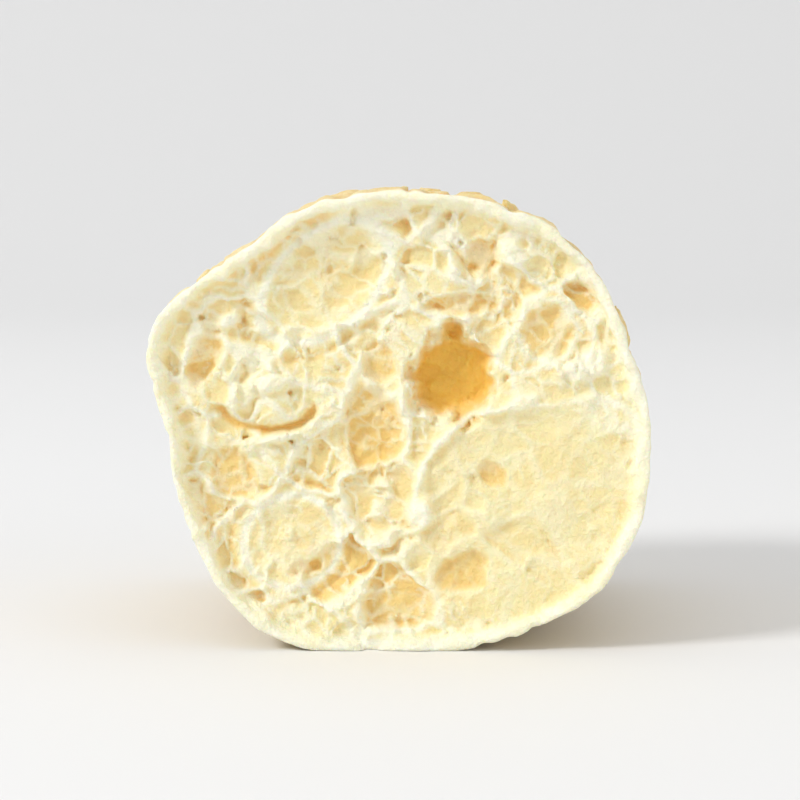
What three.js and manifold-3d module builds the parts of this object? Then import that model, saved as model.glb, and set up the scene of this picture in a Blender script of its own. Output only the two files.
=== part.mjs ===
// One dried segment of lotus root: a peeled, cut length of the root, lying on its side.
// Millimetres, +Z up. The root's own length runs along Y and its front cut faces -Y.
// The origin is under the middle of the segment, on the surface that it lies on.
import * as THREE from "three";
import { mergeVertices } from "three/addons/utils/BufferGeometryUtils.js";
import Module from "manifold-3d";

const wasm = await Module();
wasm.setup();

// Driving dimensions.
const WIDTH = 22; // across the front cut
const LENGTH = 18.5; // from the front cut to the back cut
const FOOT_DROP = 9.9; // from the root's middle down to the flat that it lies on
const FLESH_SINK = 0.5; // how far the dried flesh has shrunk back inside the rind
const RIND = 0.45; // thickness of the firm outer layer, which stands proud at both cuts
const BARREL = 0.035; // how much fatter the segment is halfway along, as a share of its radius
const BACK_TAPER = 0.05; // how much thinner the back cut is than the front one, as a share
const WRINKLE = 0.16; // height of the lengthwise wrinkles in the dried skin
const WARP = 0.3; // how far the cuts have bent out of flat as the root dried
const UNEVEN = 0.12; // height of the lumps in the flesh between the channels

// The knife's line round the front cut: degrees up from +X, and distance from the middle as a
// share of half the width. Long arcs between the corners are left to the curve.
const KNIFE_LINE = [
  [4, 0.98],
  [24, 0.96],
  [50, 0.985],
  [72, 0.93],
  [92, 0.92],
  [128, 0.92],
  [148, 0.99],
  [162, 1.04],
  [180, 0.92],
  [205, 0.93],
  [238, 0.98],
  [262, 0.935],
  [285, 0.93],
  [325, 1.03],
  [350, 1.0],
];

// Air channels and shrinkage hollows. Place on the front cut, half sizes across and up, turn in
// degrees, and how deep each one is open from the front and from the back.
const CHANNELS = [
  { x: 2.3, z: 2.1, across: 1.95, up: 2.3, turn: 0, front: 2.0, back: 3.0 },
  { x: -3.2, z: 6.2, across: 3.1, up: 1.9, turn: 42, front: 0.7, back: 1.5 },
  { x: 3.6, z: 7.2, across: 0.8, up: 0.9, turn: -20, front: 0.9, back: 1.3 },
  { x: 2.7, z: 5.2, across: 1.7, up: 0.5, turn: 3, front: 0.8, back: 0.7 },
  { x: 6.4, z: 4.1, across: 1.2, up: 1.3, turn: -40, front: 0.7, back: 1.8 },
  { x: 7.2, z: -1.0, across: 1.0, up: 1.4, turn: 0, front: 0.4, back: 1.6 },
  { x: 4.2, z: -2.2, across: 0.8, up: 0.6, turn: -25, front: 0.6, back: 0.9 },
  { x: 2.8, z: -6.5, across: 1.3, up: 0.9, turn: 20, front: 0.8, back: 1.4 },
  { x: -0.6, z: -8.0, across: 1.7, up: 0.6, turn: 0, front: 0.7, back: 0.8 },
  { x: -4.7, z: -5.2, across: 2.0, up: 1.9, turn: 30, front: 0.6, back: 1.7 },
  { x: -7.2, z: -2.3, across: 1.0, up: 1.5, turn: 15, front: 0.8, back: 1.2 },
  { x: -8.4, z: 2.9, across: 0.8, up: 1.4, turn: -20, front: 0.8, back: 1.3 },
  { x: -0.9, z: 2.6, across: 0.8, up: 1.0, turn: 0, front: 0.9, back: 0.8 },
  { x: -1.2, z: -0.4, across: 1.4, up: 2.4, turn: 6, front: 0.9, back: 1.2 },
];

// A fold in the front cut: a curved groove that sags between its two ends.
const FOLD = { x: -5.7, z: 0.35, halfSpan: 1.8, sag: 0.6, halfWide: 0.3, deep: 0.6, link: 0.75, links: 6 };

// Dimples in the skin: degrees up from +X, place along the root, and radius of the ball that fits.
const SKIN_DIMPLES = [
  [68, -2.5, 1.2],
  [84, 3.2, 0.9],
  [150, 4.6, 1.1],
  [-28, 0.5, 1.2],
  [22, -4.2, 0.9],
  [205, -1.5, 1.0],
];
const DIMPLE_SHARE = 0.3; // how much of the ball's radius sinks into the skin

const AROUND = 72; // corners round each ring of the surface
const SIDE_ROWS = 12; // rings along the skin
const HOLLOW_SEGMENTS = 12; // corners round each hollow
const HOLLOW_ROWS = 6; // rings down each hollow
const HOLLOW_WOBBLE = 0.09; // how far a hollow's edge strays from an oval, as a share

// Turns a closed geometry into a solid that can be joined and cut.
function solidOf(geometry) {
  const bare = geometry.clone();
  bare.deleteAttribute("normal");
  bare.deleteAttribute("uv");
  const merged = mergeVertices(bare, 1e-4);
  return new wasm.Manifold(
    new wasm.Mesh({
      numProp: 3,
      vertProperties: new Float32Array(merged.attributes.position.array),
      triVerts: new Uint32Array(merged.index.array),
    }),
  );
}

function geometryOf(solid) {
  const mesh = solid.getMesh();
  const geometry = new THREE.BufferGeometry();
  geometry.setAttribute("position", new THREE.BufferAttribute(mesh.vertProperties, 3));
  geometry.setIndex(new THREE.BufferAttribute(mesh.triVerts, 1));
  geometry.computeVertexNormals();
  return geometry;
}

// Points round the knife's line, as vectors in the plane of the cut.
function knifeOutline() {
  const corners = KNIFE_LINE.map(([degrees, share]) => {
    const angle = THREE.MathUtils.degToRad(degrees);
    const radius = (share * WIDTH) / 2;
    return new THREE.Vector3(radius * Math.cos(angle), 0, radius * Math.sin(angle));
  });
  const line = new THREE.CatmullRomCurve3(corners, true, "centripetal");
  return line.getSpacedPoints(AROUND).slice(0, AROUND);
}

// Rings from the middle of the front cut, over the rind, along the skin and back to the middle
// of the back cut. Each has a scale on the knife's outline and a place along the root.
function rings() {
  const rind = 1 - RIND / (WIDTH / 2);
  const cut = [
    { scale: 0.25, sunk: 1.0 },
    { scale: 0.5, sunk: 1.0 },
    { scale: 0.72, sunk: 0.9 },
    { scale: 0.87, sunk: 0.7 },
    { scale: rind - 0.02, sunk: 0.3 },
    { scale: rind + 0.01, sunk: 0 },
    { scale: 0.995, sunk: 0.25 },
  ];
  const shrink = 1 - BACK_TAPER;
  const front = cut.map(({ scale, sunk }) => ({ scale, y: sunk * FLESH_SINK - LENGTH / 2 }));
  const back = cut.map(({ scale, sunk }) => ({ scale: scale * shrink, y: LENGTH / 2 - sunk * FLESH_SINK }));
  const side = Array.from({ length: SIDE_ROWS }, (_, i) => {
    const t = -1 + (2 * (i + 0.7)) / (SIDE_ROWS + 0.4);
    const scale = 1 + BARREL * (1 - t * t) - (BACK_TAPER * (t + 1)) / 2;
    return { scale, y: (t * LENGTH) / 2, skin: 1 - t ** 6 };
  });
  return [...front, ...side, ...back.reverse()];
}

// Height of the skin's wrinkles, which run along the root and wander a little.
function wrinkle(angle, y) {
  const drift = 0.35 * Math.sin(y * 0.31 + 1.2);
  const broad = Math.sin(7 * (angle + drift)) * (0.6 + 0.4 * Math.sin(2 * angle + y * 0.2));
  const fine = Math.sin(19 * (angle - 0.4 * drift) + y * 0.5);
  return WRINKLE * (0.65 * broad + 0.35 * fine);
}

// How far a point of a cut stands out of its flat plane, along Y.
function cutLift(x, z) {
  const bend = WARP * Math.sin(x * 0.16 - 0.6) * Math.cos(z * 0.17 + 0.5);
  const lumps = UNEVEN * Math.sin(x * 0.9 + 0.4) * Math.sin(z * 0.8 - 0.7);
  return bend + lumps;
}

// The closed surface of the whole segment, before its hollows are cut.
function segmentBody() {
  const outline = knifeOutline();
  const loops = rings();
  const places = [0, loops[0].y + cutLift(0, 0), 0];
  for (const { scale, y, skin = 0 } of loops) {
    for (const point of outline) {
      const lift = 1 + (skin * wrinkle(Math.atan2(point.z, point.x), y)) / point.length();
      const x = point.x * scale * lift;
      const z = point.z * scale * lift;
      places.push(x, y + cutLift(x, z), z);
    }
  }
  places.push(0, loops.at(-1).y + cutLift(0, 0), 0);

  const last = places.length / 3 - 1;
  const faces = [];
  for (let i = 0; i < AROUND; i++) {
    const next = (i + 1) % AROUND;
    faces.push(0, 1 + i, 1 + next);
    for (let ring = 0; ring < loops.length - 1; ring++) {
      const near = 1 + ring * AROUND;
      const far = near + AROUND;
      faces.push(near + i, far + i, far + next, near + i, far + next, near + next);
    }
    const end = last - AROUND;
    faces.push(last, end + next, end + i);
  }
  const geometry = new THREE.BufferGeometry();
  geometry.setAttribute("position", new THREE.Float32BufferAttribute(places, 3));
  geometry.setIndex(faces);
  return solidOf(geometry);
}

// A lens-shaped hollow that opens on a cut: half of it lies outside the root.
function hollow({ x, z, across, up, turn }, depth, cutY) {
  const geometry = new THREE.SphereGeometry(1, HOLLOW_SEGMENTS, HOLLOW_ROWS);
  geometry.rotateX(Math.PI / 2);
  const corners = geometry.attributes.position;
  for (let i = 0; i < corners.count; i++) {
    const angle = Math.atan2(corners.getZ(i), corners.getX(i));
    const wobble = 1 + HOLLOW_WOBBLE * (Math.sin(3 * angle + x) + 0.5 * Math.sin(5 * angle + z));
    corners.setX(i, corners.getX(i) * wobble);
    corners.setZ(i, corners.getZ(i) * wobble);
  }
  geometry.scale(across, depth, up);
  geometry.rotateY(THREE.MathUtils.degToRad(-turn));
  geometry.translate(x, cutY + cutLift(x, z), z);
  return solidOf(geometry);
}

function hollows() {
  const frontY = FLESH_SINK - LENGTH / 2;
  const backY = -frontY;
  const shrink = 1 - BACK_TAPER;
  const found = [];
  for (const channel of CHANNELS) {
    found.push(hollow(channel, channel.front, frontY));
    found.push(hollow({ ...channel, x: channel.x * shrink, z: channel.z * shrink }, channel.back, backY));
  }
  for (let i = 0; i < FOLD.links; i++) {
    const t = (2 * i) / (FOLD.links - 1) - 1;
    const x = FOLD.x + t * FOLD.halfSpan;
    const z = FOLD.z - FOLD.sag * (1 - t * t);
    const turn = THREE.MathUtils.radToDeg(Math.atan2(2 * t * FOLD.sag, FOLD.halfSpan));
    found.push(hollow({ x, z, across: FOLD.link, up: FOLD.halfWide, turn }, FOLD.deep, frontY));
  }
  return found;
}

// A shallow dimple in the skin, where a rootlet or an eye fell away.
function skinDimple([degrees, y, radius]) {
  const angle = THREE.MathUtils.degToRad(degrees);
  const reach = skinReach(angle) + (1 - DIMPLE_SHARE) * radius;
  const geometry = new THREE.SphereGeometry(radius, HOLLOW_SEGMENTS, 2 * HOLLOW_ROWS);
  geometry.rotateZ(-Math.PI / 2);
  geometry.rotateY(-angle);
  geometry.translate(reach * Math.cos(angle), y, reach * Math.sin(angle));
  return solidOf(geometry);
}

// Distance from the middle to the skin on one side, halfway along the root.
function skinReach(angle) {
  const outline = knifeOutline();
  const misses = outline.map((point) => Math.abs(Math.sin((Math.atan2(point.z, point.x) - angle) / 2)));
  const nearest = outline[misses.indexOf(Math.min(...misses))];
  return nearest.length() * (1 + BARREL - BACK_TAPER / 2);
}

// Everything below the flat that the segment lies on.
function underFoot() {
  const geometry = new THREE.BoxGeometry(3 * WIDTH, 3 * LENGTH, WIDTH);
  geometry.translate(0, 0, -FOOT_DROP - WIDTH / 2);
  return solidOf(geometry);
}

function segment() {
  const cuts = [underFoot(), ...hollows(), ...SKIN_DIMPLES.map(skinDimple)];
  const solid = segmentBody().subtract(wasm.Manifold.union(cuts));
  const geometry = geometryOf(solid);
  geometry.computeBoundingBox();
  const middle = geometry.boundingBox.getCenter(new THREE.Vector3());
  geometry.translate(-middle.x, -middle.y, -geometry.boundingBox.min.z);
  const flesh = new THREE.MeshStandardMaterial({ color: 0xecd9a8, roughness: 0.62, metalness: 0 });
  const mesh = new THREE.Mesh(geometry, flesh);
  mesh.name = "lotus_root_segment";
  return mesh;
}

const lotusRoot = new THREE.Group();
lotusRoot.add(segment());

export default lotusRoot;
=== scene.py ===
import math
import bpy
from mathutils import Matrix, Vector


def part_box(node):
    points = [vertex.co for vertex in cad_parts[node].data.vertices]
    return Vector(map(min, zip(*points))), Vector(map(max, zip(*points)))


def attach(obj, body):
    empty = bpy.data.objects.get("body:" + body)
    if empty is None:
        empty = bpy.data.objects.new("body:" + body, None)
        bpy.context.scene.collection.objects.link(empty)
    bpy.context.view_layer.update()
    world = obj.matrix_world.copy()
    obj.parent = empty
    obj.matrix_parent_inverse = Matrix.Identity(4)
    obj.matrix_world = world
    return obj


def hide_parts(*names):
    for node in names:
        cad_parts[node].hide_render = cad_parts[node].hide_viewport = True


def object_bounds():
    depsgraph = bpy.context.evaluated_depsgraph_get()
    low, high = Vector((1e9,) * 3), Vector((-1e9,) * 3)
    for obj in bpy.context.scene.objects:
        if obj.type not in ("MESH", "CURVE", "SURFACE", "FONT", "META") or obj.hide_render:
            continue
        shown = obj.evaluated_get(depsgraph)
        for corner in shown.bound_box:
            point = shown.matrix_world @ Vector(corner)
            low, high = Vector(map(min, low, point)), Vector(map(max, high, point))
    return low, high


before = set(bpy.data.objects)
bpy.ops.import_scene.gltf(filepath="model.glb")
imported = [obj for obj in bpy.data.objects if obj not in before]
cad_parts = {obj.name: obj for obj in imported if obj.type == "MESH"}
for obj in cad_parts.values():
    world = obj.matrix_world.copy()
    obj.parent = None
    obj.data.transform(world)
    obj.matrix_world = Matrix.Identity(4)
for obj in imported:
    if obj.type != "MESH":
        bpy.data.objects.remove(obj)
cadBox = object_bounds()
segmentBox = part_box("lotus_root_segment")


# A number at every point, worked out by nodes. It adds, multiplies and so on like a plain number.
class Field:
    def __init__(self, tree, socket):
        self.tree = tree
        self.socket = socket

    def calc(self, operation, *others):
        node = self.tree.nodes.new("ShaderNodeMath")
        node.operation = operation
        for value, socket in zip((self, *others), node.inputs):
            plug(self.tree, value, socket)
        return Field(self.tree, node.outputs[0])

    def __add__(self, other):
        return self.calc("ADD", other)

    def __mul__(self, other):
        return self.calc("MULTIPLY", other)

    def __sub__(self, other):
        return self.calc("SUBTRACT", other)

    def __rsub__(self, other):
        return (self * -1) + other

    def __truediv__(self, other):
        return self.calc("DIVIDE", other)

    __radd__ = __add__
    __rmul__ = __mul__

    def lesser(self, other):
        return self.calc("MINIMUM", other)

    def greater(self, other):
        return self.calc("MAXIMUM", other)

    # The lesser or the greater of two, rounded over where they meet.
    def blendMin(self, other, reach):
        return self.calc("SMOOTH_MIN", other, reach)

    def blendMax(self, other, reach):
        return self.calc("SMOOTH_MAX", other, reach)

    # 0 at start and 1 at end, smooth between them. End may be the lower.
    def ramp(self, start, end):
        node = self.tree.nodes.new("ShaderNodeMapRange")
        node.interpolation_type = "SMOOTHSTEP"
        rising = end > start
        node.inputs["From Min"].default_value = min(start, end)
        node.inputs["From Max"].default_value = max(start, end)
        node.inputs["To Min"].default_value = 0 if rising else 1
        node.inputs["To Max"].default_value = 1 if rising else 0
        self.tree.links.new(self.socket, node.inputs["Value"])
        return Field(self.tree, node.outputs["Result"])

    # 1 at the place, falling to 0 at the given reach on both sides.
    def hump(self, place, reach):
        return (self - place).calc("ABSOLUTE").ramp(reach, 0)


def plug(tree, value, socket):
    if isinstance(value, Field):
        tree.links.new(value.socket, socket)
    elif isinstance(value, bpy.types.NodeSocket):
        tree.links.new(value, socket)
    else:
        socket.default_value = value


def split(tree, vector):
    node = tree.nodes.new("ShaderNodeSeparateXYZ")
    tree.links.new(vector, node.inputs[0])
    return [Field(tree, output) for output in node.outputs]


def join(tree, x, y, z):
    node = tree.nodes.new("ShaderNodeCombineXYZ")
    for value, socket in zip((x, y, z), node.inputs):
        plug(tree, value, socket)
    return node.outputs[0]


def noise(tree, place, scale, detail, roughness=0.5):
    node = tree.nodes.new("ShaderNodeTexNoise")
    node.inputs["Scale"].default_value = scale
    node.inputs["Detail"].default_value = detail
    node.inputs["Roughness"].default_value = roughness
    tree.links.new(place, node.inputs["Vector"])
    return node


# Noise about nought, from about -1 to 1.
def sway(tree, place, scale, detail, roughness=0.5):
    return Field(tree, noise(tree, place, scale, detail, roughness).outputs[0]) * 2 - 1


# The place, pushed about by noise, so that what is drawn with it comes out crooked.
def warped(tree, place, scale, reach):
    centred = tree.nodes.new("ShaderNodeVectorMath")
    centred.operation = "SUBTRACT"
    tree.links.new(noise(tree, place, scale, 2).outputs["Color"], centred.inputs[0])
    centred.inputs[1].default_value = (0.5, 0.5, 0.5)
    pushed = tree.nodes.new("ShaderNodeVectorMath")
    pushed.operation = "MULTIPLY_ADD"
    tree.links.new(centred.outputs[0], pushed.inputs[0])
    pushed.inputs[1].default_value = (2 * reach,) * 3
    tree.links.new(place, pushed.inputs[2])
    return pushed.outputs[0]


def cells(tree, place, scale, feature="F1"):
    node = tree.nodes.new("ShaderNodeTexVoronoi")
    node.feature = feature
    node.inputs["Scale"].default_value = scale
    tree.links.new(place, node.inputs["Vector"])
    return node


# A node group from a recipe that takes and gives fields. Its position is a vector, the rest numbers.
def nodeGroup(name, given, made, recipe):
    group = bpy.data.node_groups.new(name, "GeometryNodeTree")
    for label in given:
        kind = "NodeSocketVector" if label == "position" else "NodeSocketFloat"
        group.interface.new_socket(label, in_out="INPUT", socket_type=kind)
    for label in made:
        group.interface.new_socket(label, in_out="OUTPUT", socket_type="NodeSocketFloat")
    start = group.nodes.new("NodeGroupInput")
    end = group.nodes.new("NodeGroupOutput")
    results = recipe(*[Field(group, start.outputs[label]) for label in given])
    for label, value in zip(made, results):
        plug(group, value, end.inputs[label])
    return group


def use(tree, group, *values):
    node = tree.nodes.new("GeometryNodeGroup")
    node.node_tree = group
    for value, socket in zip(values, node.inputs):
        plug(tree, value, socket)
    return [Field(tree, output) for output in node.outputs]


# Sizes in millimetres, about the root's own middle. Angles in degrees, up from +X as the front cut is
# looked at. Sizes on a cut are given as place, half size and turn.
segment = {
    "halfWidth": 11.0,
    "length": 18.5,
    "foot": -9.9,
    "barrel": 0.035,
    "taper": 0.05,
    "rind": 0.6,
    "sink": 0.42,
    # Distance from the middle to the knife's line, as a share of half the width, at each angle.
    "knifeLine": [
        (4, 0.98), (24, 0.96), (50, 0.985), (57, 0.965), (72, 0.93), (92, 0.92), (111, 0.925),
        (128, 0.92), (148, 0.99), (162, 1.04), (170, 0.985), (180, 0.92), (205, 0.93), (238, 0.98),
        (262, 0.935), (285, 0.93), (305, 0.975), (325, 1.03), (350, 1.0),
    ],
    # The channels and shrinkage hollows. After its place come how deep each opens at the front and at the
    # back, how ragged its edge is, how golden its floor is painted, partly as painted shade, and how high
    # the lip round it.
    "hollows": [
        ((2.3, 2.1), (1.95, 2.3), 0, 1.35, 3.0, 0.55, 1.0, 0.1),
        ((-3.2, 6.2), (3.1, 1.9), 42, 0.4, 1.5, 0.1, 0.12, 0.4),
        ((3.6, 7.2), (0.8, 0.9), -20, 0.5, 1.3, 0.6, 0.7, 0.15),
        ((2.7, 5.2), (1.7, 0.5), 3, 0.45, 0.4, 0.4, 0.6, 0.25),
        ((6.4, 4.1), (1.2, 1.3), -40, 0.32, 1.8, 0.3, 0.45, 0.28),
        ((-8.4, 2.9), (0.8, 1.4), -20, 0.45, 1.3, 0.5, 0.5, 0.2),
        ((-0.9, 2.6), (0.8, 1.0), 0, 0.4, 0.6, 0.5, 0.4, 0.15),
        ((-1.2, -0.4), (1.4, 2.4), 6, 0.5, 1.2, 0.35, 0.55, 0.12),
        ((-7.2, -2.3), (1.0, 1.5), 15, 0.4, 1.2, 0.4, 0.45, 0.15),
        ((-4.7, -5.2), (2.0, 1.9), 30, 0.3, 1.7, 0.1, 0.1, 0.42),
        ((-4.3, -6.4), (0.8, 0.4), 12, 0.4, 0.3, 0.6, 0.6, 0.0),
        ((2.8, -6.5), (1.3, 0.9), 20, 0.35, 1.4, 0.6, 0.5, 0.12),
        ((-0.6, -8.0), (1.7, 0.6), 0, 0.3, 0.6, 0.6, 0.4, 0.1),
        ((4.2, -2.2), (0.8, 0.6), -25, 0.3, 0.8, 0.9, 0.55, 0.05),
        ((7.2, -1.0), (1.0, 1.4), 0, 0.05, 1.6, 0.5, 0.06, 0.0),
    ],
    # Pale knots of firmer flesh that stand up from the front cut.
    "knots": [
        ((8.0, 2.6), (1.6, 0.8), 25), ((2.5, 6.4), (0.8, 0.45), -30), ((5.0, 7.3), (1.0, 0.7), -40),
        ((2.9, 4.5), (0.7, 0.3), 10), ((-7.3, 4.5), (0.8, 0.4), 35), ((-5.7, 1.8), (1.3, 0.5), 5),
        ((0.25, 0.6), (0.3, 1.6), 8), ((5.4, 1.0), (1.1, 0.5), 20), ((0.9, -3.9), (0.8, 0.9), 0),
        ((-2.2, -4.2), (1.2, 0.4), -50), ((-5.2, -0.6), (1.2, 0.3), 10),
    ],
    # A fold in the front cut that smiles under a pale swelling, and the calmer flesh at the lower right,
    # which a pale ridge bounds on its upper left.
    "fold": {"at": (-5.7, 1.1), "half": (2.2, 1.35), "deep": 0.55, "wide": 0.2},
    "calm": {"at": (5.4, -3.8), "inner": 4.2, "outer": 6.2, "ridge": 4.7, "wide": 0.35},
    # Eyes in the skin: angle round the root, place along it, and radius of the raised ring.
    "eyes": [
        (68, -2.5, 1.25), (84, 3.2, 0.9), (150, 4.6, 1.1),
        (-28, 0.5, 1.2), (22, -4.2, 0.9), (205, -1.5, 0.95),
    ],
    # Two sizes of cell in the flesh, then of open pore: cells to a millimetre, and how each is drawn.
    "cells": [
        {"scale": 0.36, "shallow": 0.04, "deepest": 0.5, "wall": 0.1, "white": 0.9, "goldAndShade": 0.5},
        {"scale": 0.95, "shallow": 0.03, "deepest": 0.24, "wall": 0.13, "white": 0.65, "goldAndShade": 0.0},
    ],
    "pores": [{"scale": 0.7, "widest": 0.26, "rarity": 0.86}, {"scale": 1.5, "widest": 0.3, "rarity": 0.8}],
    # The block that the segment is worked from, how fine, and the triangles that are kept.
    "blockLow": (-12.1, -10.1, -10.2),
    "blockHigh": (11.9, 10.1, 11.0),
    "grain": 0.11,
    "quickGrain": 0.2,
    "triangles": 192000,
}
sizeNames = ("halfWidth", "length", "foot", "barrel", "taper", "rind", "sink")
patternGap = 20  # the back cut takes its pattern from this far off, so the two cuts differ


# How far out a point lies on an oval's own scale: 0 in the middle, 1 at the edge.
def ovalSpread(x, z, atX, atZ, halfX, halfZ, turn):
    dx = x - atX
    dz = z - atZ
    cosine = turn.calc("COSINE")
    sine = turn.calc("SINE")
    along = (dx * cosine + dz * sine) / halfX
    over = (dz * cosine - dx * sine) / halfZ
    return (along * along + over * over).calc("SQRT")


# A hollow with a lip round it, and a slight moat round the lip. Its floor is painted golden, partly its own
# tone and partly painted shade, and the moat round the lip is painted golden as painted shade.
def hollowRecipe(x, z, fray, atX, atZ, halfX, halfZ, turn, deep, ragged, goldAndShade, lip):
    spread = ovalSpread(x, z, atX, atZ, halfX, halfZ, turn) + fray * ragged
    inside = ((1 - spread).greater(0) * 3).lesser(1).calc("POWER", 0.6)
    edge = spread.hump(1.07, 0.17)
    moat = spread.hump(1.36, 0.16) * lip
    depth = inside * deep - edge * lip + moat * 0.5
    # The golden share returned here is partly the flesh's own tone and partly painted shade in the floor
    # and moat.
    return depth, edge * lip * 3, (inside * goldAndShade).greater(moat * 0.9), inside


def knotRecipe(x, z, fray, atX, atZ, halfX, halfZ, turn):
    return ((ovalSpread(x, z, atX, atZ, halfX, halfZ, turn) + fray * 0.4).ramp(1.1, 0.3),)


def eyeRecipe(x, y, z, fray, atX, atY, atZ, radius):
    dx = x - atX
    dy = y - atY
    dz = z - atZ
    away = (dx * dx + dy * dy + dz * dz).calc("SQRT") / radius + fray
    return (away.hump(1.0, 0.42) * 0.22 - away.ramp(0.8, 0.1) * 0.26,)


onCut = ("x", "z", "fray", "atX", "atZ", "halfX", "halfZ", "turn")
ofHollow = (*onCut, "deep", "ragged", "goldAndShade", "lip")
hollowGroup = nodeGroup("lotus_hollow", ofHollow, ("depth", "pale", "goldAndShade", "inside"), hollowRecipe)
knotGroup = nodeGroup("lotus_knot", onCut, ("height",), knotRecipe)
ofEye = ("x", "y", "z", "fray", "atX", "atY", "atZ", "radius")
eyeGroup = nodeGroup("lotus_eye", ofEye, ("height",), eyeRecipe)


# Distance from the middle to the knife's line, at an angle in radians, as a share of half the width.
def knifeShare(tree, angle):
    topShare = 1.25  # the curve's own height runs from 0 to 1
    node = tree.nodes.new("ShaderNodeFloatCurve")
    curve = node.mapping.curves[0]
    spots = sorted(((degrees / 360 + 0.5) % 1, share / topShare) for degrees, share in segment["knifeLine"])
    spots.append((1, spots[0][1]))
    while len(curve.points) < len(spots):
        curve.points.new(0.5, 0.5)
    for point, spot in zip(curve.points, spots):
        point.location = spot
    node.mapping.update()
    plug(tree, angle / (2 * math.pi) + 0.5, node.inputs["Value"])
    return Field(tree, node.outputs[0]) * topShare


# Depth under the skin, with its wrinkles, folds and eyes, and their own height.
def skinRecipe(position, halfWidth, length, barrel, taper):
    tree = position.tree
    x, y, z = split(tree, warped(tree, position.socket, 0.45, 0.2))
    broad = sway(tree, join(tree, x * 0.42, y * 0.07, z * 0.42), 1, 2)
    fibres = sway(tree, join(tree, x * 1.5, y * 0.12, z * 1.5), 1, 3, 0.6)
    creased = sway(tree, join(tree, x * 0.33 + 4, y * 0.05, z * 0.33), 1, 1)
    creased = creased.calc("ABSOLUTE").ramp(0.13, 0.0)
    fine = sway(tree, join(tree, x * 3.2, y * 0.3, z * 3.2), 1, 2, 0.6)
    wrinkle = broad * 0.36 + fibres * 0.15 + fine * 0.05 - creased * 0.26
    fray = sway(tree, join(tree, x, y, z), 0.9, 2) * 0.35
    for degrees, along, radius in segment["eyes"]:
        angle = math.radians(degrees)
        atX = halfWidth * (0.97 * math.cos(angle))
        atZ = halfWidth * (0.97 * math.sin(angle))
        wrinkle = wrinkle + use(tree, eyeGroup, x, y, z, fray, atX, along, atZ, radius)[0]
    along = y * 2 / length
    girth = 1 + barrel * (1 - along * along) - taper * (along + 1) / 2
    quiet = (along * along).ramp(1.0, 0.6) * 0.6 + 0.4
    reach = knifeShare(tree, z.calc("ARCTAN2", x)) * halfWidth * girth
    return reach + wrinkle * quiet - (x * x + z * z).calc("SQRT"), wrinkle


skinGroup = nodeGroup(
    "lotus_skin", ("position", "halfWidth", "length", "barrel", "taper"), ("under", "wrinkle"), skinRecipe
)


# The hollows run in from both cuts, at the same places.
def channelRecipe(x, z, fray, back):
    tree = x.tree
    opened, others = None, None
    for at, half, turn, frontDepth, backDepth, *looks in segment["hollows"]:
        deep = back * (backDepth - frontDepth) + frontDepth
        found = use(tree, hollowGroup, x, z, fray, *at, *half, math.radians(turn), deep, *looks)
        opened = found[0] if opened is None else opened.blendMax(found[0], 0.12)
        others = found[1:] if others is None else [a.greater(b) for a, b in zip(others, found[1:])]
    return opened, *others


channelGroup = nodeGroup(
    "lotus_channels", ("x", "z", "fray", "back"), ("opened", "lips", "goldAndShade", "within"), channelRecipe
)


# Knots, the fold and the calm flesh, on the front cut alone.
def frontRecipe(x, z, fray):
    fold, calm = segment["fold"], segment["calm"]
    raised = None
    for at, half, turn in segment["knots"]:
        knot = use(x.tree, knotGroup, x, z, fray, *at, *half, math.radians(turn))[0]
        raised = knot if raised is None else raised.greater(knot)
    level = x * 0
    spread = ovalSpread(x, z, *fold["at"], *fold["half"], level) + fray * 0.12
    crease = spread.hump(1.0, fold["wide"]) * (z - fold["at"][1]).ramp(0.0, -0.6)
    swelling = spread.ramp(0.95, 0.3)
    away = ovalSpread(x, z, *calm["at"], 1, 1, level)
    still = away.ramp(calm["outer"], calm["inner"])
    upperLeft = (z - x - (calm["at"][1] - calm["at"][0])).ramp(2.0, 5.0)
    bound = (away + fray * 0.5).hump(calm["ridge"], calm["wide"]) * upperLeft
    return raised.greater(bound), crease, swelling, still


frontGroup = nodeGroup(
    "lotus_front", ("x", "z", "fray"), ("raised", "crease", "swelling", "still"), frontRecipe
)


# Dried cells with thin pale walls, over a crumb, and short crooked threads of paler flesh.
def cellRecipe(position, back, lively, goldAndShade):
    tree = position.tree
    end = back * patternGap
    x, _, z = split(tree, position.socket)
    pushed = split(tree, warped(tree, position.socket, 0.5, 0.9))
    flat = join(tree, pushed[0], end, pushed[2])
    crumbs = Field(tree, cells(tree, position.socket, 2.7).outputs["Distance"])
    relief = sway(tree, position.socket, 1.5, 4, 0.6) * (goldAndShade * 0.2 + 0.08) + crumbs * 0.09
    pale = None
    for size in segment["cells"]:
        edge = Field(tree, cells(tree, flat, size["scale"], "DISTANCE_TO_EDGE").outputs["Distance"])
        chance = split(tree, cells(tree, flat, size["scale"]).outputs["Color"])[0]
        floor = edge.ramp(0.02, size["wall"]) * lively
        relief = relief + floor * (chance * chance * size["deepest"] + size["shallow"])
        # The deeper cells' floors are painted golden: partly the flesh's own tone, partly painted shade.
        goldAndShade = goldAndShade.greater(floor * chance.ramp(0.55, 1.0) * size["goldAndShade"])
        wall = edge.ramp(size["wall"] * 0.8, 0.02) * size["white"]
        pale = wall if pale is None else pale.greater(wall)
    for scale, thin in ((0.6, 0.1), (1.2, 0.12)):
        wander = sway(tree, join(tree, pushed[0], end + scale * 9, pushed[2]), scale, 1)
        broken = sway(tree, join(tree, x, end - scale * 7, z), 0.7, 1).ramp(0.0, 0.22)
        thread = wander.calc("ABSOLUTE").ramp(thin, 0.0) * broken
        relief = relief - thread * 0.16 * lively
        pale = pale.greater(thread * 0.8)
    return relief, pale * lively, goldAndShade


cellGroup = nodeGroup(
    "lotus_cells", ("position", "back", "lively", "goldAndShade"), ("relief", "pale", "goldAndShade"), cellRecipe
)


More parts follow.
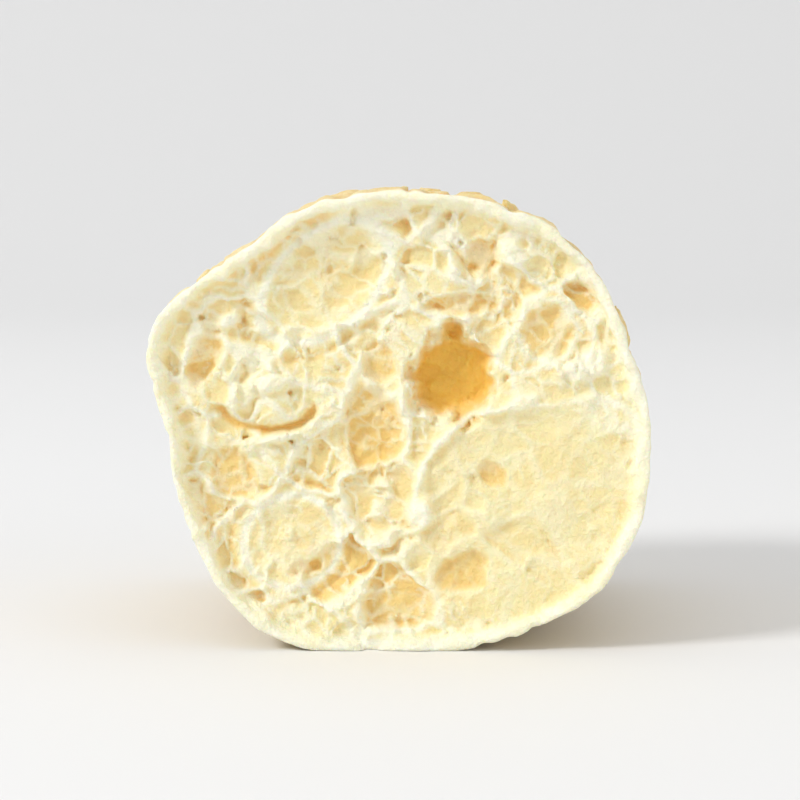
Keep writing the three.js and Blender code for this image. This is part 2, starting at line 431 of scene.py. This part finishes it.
# Distance to the nearest open pore.
def poreRecipe(position, lively):
    tree = position.tree
    pores = None
    for size in segment["pores"]:
        bubble = cells(tree, warped(tree, position.socket, 1.3, 0.3), size["scale"])
        chance, _, girthShare = split(tree, bubble.outputs["Color"])
        isOpen = chance.ramp(size["rarity"], size["rarity"] + 0.02)
        radius = (girthShare * 0.6 + 0.4) * size["widest"] * isOpen * lively
        wall = (Field(tree, bubble.outputs["Distance"]) - radius) / size["scale"]
        pores = wall if pores is None else pores.lesser(wall)
    return (pores,)


poreGroup = nodeGroup("lotus_pores", ("position", "lively"), ("wall",), poreRecipe)


# All that shapes and paints the segment, at a place in millimetres.
def segmentRecipe(position, halfWidth, length, foot, barrel, taper, rind, sink):
    tree = position.tree
    x0, y0, z0 = split(tree, position.socket)
    bent = warped(tree, position.socket, 0.45, 0.2)
    x, y, z = split(tree, bent)
    bent = Field(tree, bent)
    underSkin, wrinkle = use(tree, skinGroup, position, halfWidth, length, barrel, taper)

    back = y0.calc("GREATER_THAN", 0)
    front = 1 - back
    narrow = 2 - back * taper * 2
    cutX = (x0 + x) / narrow
    cutZ = (z0 + z) / narrow
    fray = sway(tree, join(tree, x, back * patternGap, z), 0.75, 3, 0.6)
    opened, lips, goldAndShade, within = use(tree, channelGroup, cutX, cutZ, fray, back)
    raised, crease, swelling, still = [part * front for part in use(tree, frontGroup, cutX, cutZ, fray)]
    lively = (1 - still * 0.6) * (1 - within * 0.4)
    relief, pale, goldAndShade = use(tree, cellGroup, bent, back, lively, goldAndShade)
    relief = (relief - raised * 0.35) * (1 - crease) - swelling * 0.22
    # Painted shade: the fold's sunken crease is painted golden.
    goldAndShade = goldAndShade.greater(crease * 0.75)
    pale = pale.greater(raised).greater(lips) * (1 - crease)

    # The rind stands proud of the shrunken flesh, and its cut edge is worn.
    rindEdge = sway(tree, bent.socket, 0.55, 1) * 0.3 + sway(tree, bent.socket, 2.0, 2) * 0.22
    insideRind = ((underSkin + rindEdge) / rind).ramp(0.5, 1.3)
    worn = sway(tree, bent.socket, 0.8, 3, 0.6).greater(-0.1) * 0.25
    bend = (x * 0.16 - 0.6).calc("SINE") * (z * 0.17 + 0.5).calc("COSINE") * 0.3
    cutDown = (relief + opened + crease * segment["fold"]["deep"] + sink).greater(0.02) * insideRind
    cutDown = cutDown + worn * (1 - insideRind)
    belowFront = y + length / 2 + bend
    belowBack = length / 2 - y - bend
    underFront = belowFront - cutDown
    underBack = belowBack - cutDown
    inner = underFront.lesser(underBack)

    pores = use(tree, poreGroup, position, lively)[0]
    guard = (underSkin.ramp(1.3, 0.7) + inner.ramp(0.15, 0.6)) * 2
    solid = underSkin.blendMin(underFront, 0.14).blendMin(underBack, 0.14)
    solid = solid.blendMin(pores + guard, 0.08)
    solid = solid.blendMin(z0 - foot, 0.2)
    underOuter = underSkin.lesser(z0 - foot)  # the flat that it lies on is finished as skin
    return solid, belowFront.lesser(belowBack), underOuter, inner, pale, goldAndShade, wrinkle


layerNames = ("solid", "depth", "skin", "inner", "pale", "goldAndShade", "wrinkle")
segmentGroup = nodeGroup("lotus_segment", ("position", *sizeNames), layerNames, segmentRecipe)
print("drew the segment's fields")


# A tree on the segment's fields, with its sizes as named inputs.
def newTree(name, moreInputs=()):
    tree = bpy.data.node_groups.new(name, "GeometryNodeTree")
    tree.interface.new_socket("Geometry", in_out="OUTPUT", socket_type="NodeSocketGeometry")
    tree.interface.new_socket("Geometry", in_out="INPUT", socket_type="NodeSocketGeometry")
    for label in (*sizeNames, *moreInputs):
        tree.interface.new_socket(label, in_out="INPUT", socket_type="NodeSocketFloat")
    start = tree.nodes.new("NodeGroupInput")
    place = tree.nodes.new("GeometryNodeInputPosition").outputs[0]
    sizes = [start.outputs[label] for label in sizeNames]
    return tree, start, dict(zip(layerNames, use(tree, segmentGroup, place, *sizes)))


# Every tree ends in Realize Instances and Set Material.
def endTree(tree, geometry, material):
    for kind in ("GeometryNodeRealizeInstances", "GeometryNodeSetMaterial"):
        node = tree.nodes.new(kind)
        tree.links.new(geometry, node.inputs[0])
        geometry = node.outputs[0]
    node.inputs["Material"].default_value = material
    tree.links.new(geometry, tree.nodes.new("NodeGroupOutput").inputs[0])
    return tree


# Sets a modifier's inputs by the identifiers of their sockets.
def setInputs(modifier, values):
    for item in modifier.node_group.interface.items_tree:
        if item.in_out == "INPUT" and item.name in values:
            modifier[item.identifier] = float(values[item.name])


# The segment as a fine closed mesh, from its solid field.
def foamTree(material):
    tree, start, layers = newTree("lotus_foam", ("grain",))
    grain = Field(tree, start.outputs["grain"])
    cube = tree.nodes.new("GeometryNodeVolumeCube")
    plug(tree, layers["solid"], cube.inputs["Density"])
    cube.inputs["Background"].default_value = -1
    low, high = Vector(segment["blockLow"]), Vector(segment["blockHigh"])
    cube.inputs["Min"].default_value = low
    cube.inputs["Max"].default_value = high
    for span, label in zip(high - low, ("Resolution X", "Resolution Y", "Resolution Z")):
        plug(tree, grain.calc("POWER", -1) * span, cube.inputs[label])
    mesh = tree.nodes.new("GeometryNodeVolumeToMesh")
    mesh.inputs["Threshold"].default_value = 0
    tree.links.new(cube.outputs[0], mesh.inputs["Volume"])

    # Bubbles sealed inside the flesh and loose crumbs are dropped: only the largest shell stays.
    island = tree.nodes.new("GeometryNodeInputMeshIsland")
    count = tree.nodes.new("GeometryNodeAccumulateField")
    count.data_type = "FLOAT"
    count.domain = "FACE"
    count.inputs["Value"].default_value = 1
    tree.links.new(island.outputs["Island Index"], count.inputs["Group ID"])
    most = tree.nodes.new("GeometryNodeAttributeStatistic")
    most.domain = "FACE"
    tree.links.new(mesh.outputs[0], most.inputs[0])
    tree.links.new(count.outputs["Total"], most.inputs["Attribute"])
    drop = tree.nodes.new("GeometryNodeDeleteGeometry")
    drop.domain = "FACE"
    tree.links.new(mesh.outputs[0], drop.inputs[0])
    isSmall = Field(tree, count.outputs["Total"]).calc("LESS_THAN", Field(tree, most.outputs["Max"]))
    plug(tree, isSmall, drop.inputs["Selection"])
    return endTree(tree, drop.outputs[0], material)


# What the material reads is kept at each corner of the thinned mesh.
def paintTree(material):
    tree, start, layers = newTree("lotus_paint")
    geometry = start.outputs[0]
    for label in layerNames[1:]:
        store = tree.nodes.new("GeometryNodeStoreNamedAttribute")
        store.data_type = "FLOAT"
        store.domain = "POINT"
        store.inputs["Name"].default_value = label
        tree.links.new(geometry, store.inputs["Geometry"])
        plug(tree, layers[label], store.inputs["Value"])
        geometry = store.outputs[0]
    smooth = tree.nodes.new("GeometryNodeSetShadeSmooth")
    tree.links.new(geometry, smooth.inputs[0])
    return endTree(tree, smooth.outputs[0], material)


# A colour as it reads on a screen, in the linear light that Blender mixes.
def tint(red, green, blue):
    return tuple(((shade / 255 + 0.055) / 1.055) ** 2.4 for shade in (red, green, blue))


flesh = {
    "ridge": tint(255, 250, 224),
    "cream": tint(252, 237, 182),
    # This honey colour is a random tone on the cut, and also painted shade where the flesh lies deeper
    # under the cut.
    "honeyAndShade": tint(246, 218, 146),
    # This golden colour is partly the flesh's own tone and partly painted shade in hollows, pores, cell
    # floors, moats and the crease.
    "goldAndShade": tint(247, 197, 88),
    # This deep brown is painted shade, far down the hollows.
    "deep": tint(205, 138, 50),
    "skin": tint(246, 229, 174),
    "skinShade": tint(228, 193, 118),
    # This fold colour is painted shade down the skin's creases.
    "fold": tint(201, 150, 68),
    "fleck": tint(184, 130, 54),
}


def mixColour(tree, share, first, second):
    node = tree.nodes.new("ShaderNodeMix")
    node.data_type = "RGBA"
    colours = [socket for socket in node.inputs if socket.type == "RGBA"]
    plug(tree, share, node.inputs[0])
    for value, socket in zip((first, second), colours):
        if isinstance(value, tuple):
            socket.default_value = (*value, 1)
        else:
            tree.links.new(value, socket)
    return next(socket for socket in node.outputs if socket.type == "RGBA")


def fleshMaterial():
    material = bpy.data.materials.new("dried_lotus_flesh")
    material.use_nodes = True
    tree = material.node_tree
    shader = tree.nodes["Principled BSDF"]
    scaled = tree.nodes.new("ShaderNodeVectorMath")
    scaled.operation = "SCALE"
    scaled.inputs["Scale"].default_value = 1000
    tree.links.new(tree.nodes.new("ShaderNodeTexCoord").outputs["Object"], scaled.inputs[0])
    place = scaled.outputs[0]

    def stored(name):
        node = tree.nodes.new("ShaderNodeAttribute")
        node.attribute_name = name
        return Field(tree, node.outputs["Fac"])

    below = stored("depth")
    depth = below + sway(tree, place, 1.4, 3) * 0.15
    under = stored("skin")
    patch = sway(tree, place, 0.33, 2)
    colour = mixColour(tree, patch.ramp(-0.5, 0.7) * 0.45, flesh["cream"], flesh["honeyAndShade"])
    # Painted shade: the deeper the flesh lies under the cut, the more it turns honey, then golden, then
    # deep brown, and the pale walls fade out deep down.
    colour = mixColour(tree, depth.ramp(0.75, 1.35) * 0.6, colour, flesh["honeyAndShade"])
    colour = mixColour(tree, stored("goldAndShade"), colour, flesh["goldAndShade"])
    colour = mixColour(tree, stored("pale") * depth.ramp(1.8, 0.9), colour, flesh["ridge"])
    # Painted shade, partly the flesh's own tone: golden inside pores and wherever the flesh lies under the
    # local cut surface.
    colour = mixColour(tree, stored("inner").ramp(0.06, 0.4) * 0.75, colour, flesh["goldAndShade"])
    colour = mixColour(tree, depth.ramp(3.0, 5.0), colour, flesh["deep"])
    mottled = sway(tree, place, 0.9, 4, 0.6).ramp(-0.3, 0.6) * 0.55
    rind = mixColour(tree, mottled, flesh["ridge"], flesh["cream"])
    colour = mixColour(tree, under.ramp(0.3, 0.8) * depth.ramp(0.15, 0.4), rind, colour)
    # Skin, in lengthwise fibres, with painted shade down its folds, and flecked with brown.
    x, y, z = split(tree, place)
    fibre = sway(tree, join(tree, x * 2.6, y * 0.3, z * 2.6), 1, 4, 0.65)
    speckle = sway(tree, place, 2.6, 4, 0.7).ramp(-0.35, 0.55)
    shade = sway(tree, place, 0.28, 2).ramp(-0.5, 0.6) * 0.45 + speckle * 0.25
    shade = shade + fibre.ramp(-0.35, 0.45) * 0.45
    skin = mixColour(tree, shade, flesh["skin"], flesh["skinShade"])
    # Painted shade: the skin darkens where its wrinkles sink.
    skin = mixColour(tree, stored("wrinkle").ramp(-0.02, -0.4) * 0.75, skin, flesh["fold"])
    skin = mixColour(tree, sway(tree, place, 1.1, 5, 0.75).ramp(0.3, 0.5) * 0.5, skin, flesh["fleck"])
    onSkin = under.ramp(0.25, 0.02) * below.ramp(0.1, 0.9)
    colour = mixColour(tree, onSkin, colour, skin)
    tree.links.new(colour, shader.inputs["Base Color"])
    shader.inputs["Roughness"].default_value = 0.55
    shader.inputs["IOR"].default_value = 1.42
    shader.inputs["Subsurface Weight"].default_value = 0.35
    shader.inputs["Subsurface Radius"].default_value = (1.0, 0.55, 0.25)
    shader.inputs["Subsurface Scale"].default_value = 0.0012

    bump = tree.nodes.new("ShaderNodeBump")
    bump.inputs["Strength"].default_value = 0.5
    bump.inputs["Distance"].default_value = 0.00015
    grain = sway(tree, place, 5.5, 3, 0.6) + sway(tree, place, 2.2, 2) * 0.6
    plug(tree, grain + fibre * onSkin * 1.2, bump.inputs["Height"])
    tree.links.new(bump.outputs[0], shader.inputs["Normal"])
    return material


# A plain mesh of what the object's modifiers make of it.
def settle(piece):
    graph = bpy.context.evaluated_depsgraph_get()
    made = bpy.data.meshes.new_from_object(piece.evaluated_get(graph))
    piece.modifiers.clear()
    piece.data = made
    return made


def triangleCount(mesh):
    return sum(len(face.vertices) - 2 for face in mesh.polygons)


def buildSegment():
    piece = bpy.data.objects.new("lotus_root", bpy.data.meshes.new("lotus_root"))
    bpy.context.scene.collection.objects.link(piece)
    material = fleshMaterial()
    foam = piece.modifiers.new("foam", "NODES")
    foam.node_group = foamTree(material)
    grain = segment["grain"]
    setInputs(foam, {**segment, "grain": grain})
    made = settle(piece)
    print("foamed:", triangleCount(made), "triangles")
    piece.modifiers.new("thin", "DECIMATE").ratio = min(1, segment["triangles"] / triangleCount(made))
    paint = piece.modifiers.new("paint", "NODES")
    paint.node_group = paintTree(material)
    setInputs(paint, segment)
    made = settle(piece)
    print("thinned and painted:", triangleCount(made), "triangles")

    # From millimetres about the root's own middle to the row frame.
    corners = [vertex.co for vertex in made.vertices]
    low = Vector(min(c[i] for c in corners) for i in range(3))
    high = Vector(max(c[i] for c in corners) for i in range(3))
    print("size in millimetres:", [round(v, 2) for v in high - low])
    middle = Vector(((low.x + high.x) / 2, (low.y + high.y) / 2, low.z))
    target = (segmentBox[0] + segmentBox[1]) / 2
    target.z = segmentBox[0].z
    for vertex in made.vertices:
        vertex.co = (vertex.co - middle) * 0.001 + target
    return piece


lotusRoot = buildSegment()
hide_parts("lotus_root_segment")
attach(lotusRoot, "root")


# Metres. A sheet of paper lies under the piece and curves up behind it. A lamp is place, size and power.
studio = {
    "front": -1.5,
    "behind": 0.25,
    "curve": 0.4,
    "top": 2.0,
    "halfWide": 1.5,
    "grey": 0.8,
    "world": 0.6,
    "lamps": {
        "key": ((-0.4, -0.25, 0.375), 0.16, 2.0),
        "fill": ((0.45, -0.3, 0.2), 0.4, 0.4),
        "overhead": ((0, 0.3, 1.2), 1.6, 4.5),
    },
    "lens": 100,
    "elevation": 5.5,
    "distance": 0.105,
}


def buildStudio():
    behind, curve = studio["behind"], studio["curve"]
    steps = [(studio["front"], 0.0), (behind, 0.0)]
    for i in range(1, 25):
        turn = math.pi / 2 * i / 24
        steps.append((behind + curve * math.sin(turn), curve - curve * math.cos(turn)))
    steps.append((behind + curve, studio["top"]))
    corners = [(x, y, z) for y, z in steps for x in (-studio["halfWide"], studio["halfWide"])]
    faces = [(2 * i, 2 * i + 1, 2 * i + 3, 2 * i + 2) for i in range(len(steps) - 1)]
    sheet = bpy.data.meshes.new("studio_floor")
    sheet.from_pydata(corners, [], faces)
    sheet.shade_smooth()
    paper = bpy.data.materials.new("studio_paper")
    paper.use_nodes = True
    shader = paper.node_tree.nodes["Principled BSDF"]
    shader.inputs["Base Color"].default_value = (studio["grey"], studio["grey"], studio["grey"], 1)
    shader.inputs["Roughness"].default_value = 0.8
    sheet.materials.append(paper)
    floor = bpy.data.objects.new("studio_floor", sheet)
    bpy.context.scene.collection.objects.link(floor)

    world = bpy.data.worlds.new("studio_world")
    world.use_nodes = True
    background = world.node_tree.nodes["Background"]
    background.inputs["Color"].default_value = (1, 1, 1, 1)
    background.inputs["Strength"].default_value = studio["world"]
    bpy.context.scene.world = world
    bpy.context.scene.view_settings.view_transform = "Standard"

    for name, (place, size, power) in studio["lamps"].items():
        light = bpy.data.lights.new(name, "AREA")
        light.size = size
        light.energy = power
        lamp = bpy.data.objects.new(name, light)
        lamp.location = place
        lamp.rotation_mode = "QUATERNION"
        lamp.rotation_quaternion = ((cadBox[0] + cadBox[1]) / 2 - lamp.location).to_track_quat("-Z", "Y")
        bpy.context.scene.collection.objects.link(lamp)


buildStudio()
print("lit the studio")


def placeCamera():
    lens = bpy.data.cameras.new("camera")
    lens.lens = studio["lens"]
    lens.clip_start = 0.001
    lens.clip_end = 10
    camera = bpy.data.objects.new("camera", lens)
    bpy.context.scene.collection.objects.link(camera)
    bpy.context.scene.camera = camera
    elevation = math.radians(studio["elevation"])
    aim = (cadBox[0] + cadBox[1]) / 2
    outwards = Vector((0, -math.cos(elevation), math.sin(elevation)))
    camera.location = aim + outwards * studio["distance"]
    camera.rotation_mode = "QUATERNION"
    camera.rotation_quaternion = (aim - camera.location).to_track_quat("-Z", "Y")


placeCamera()
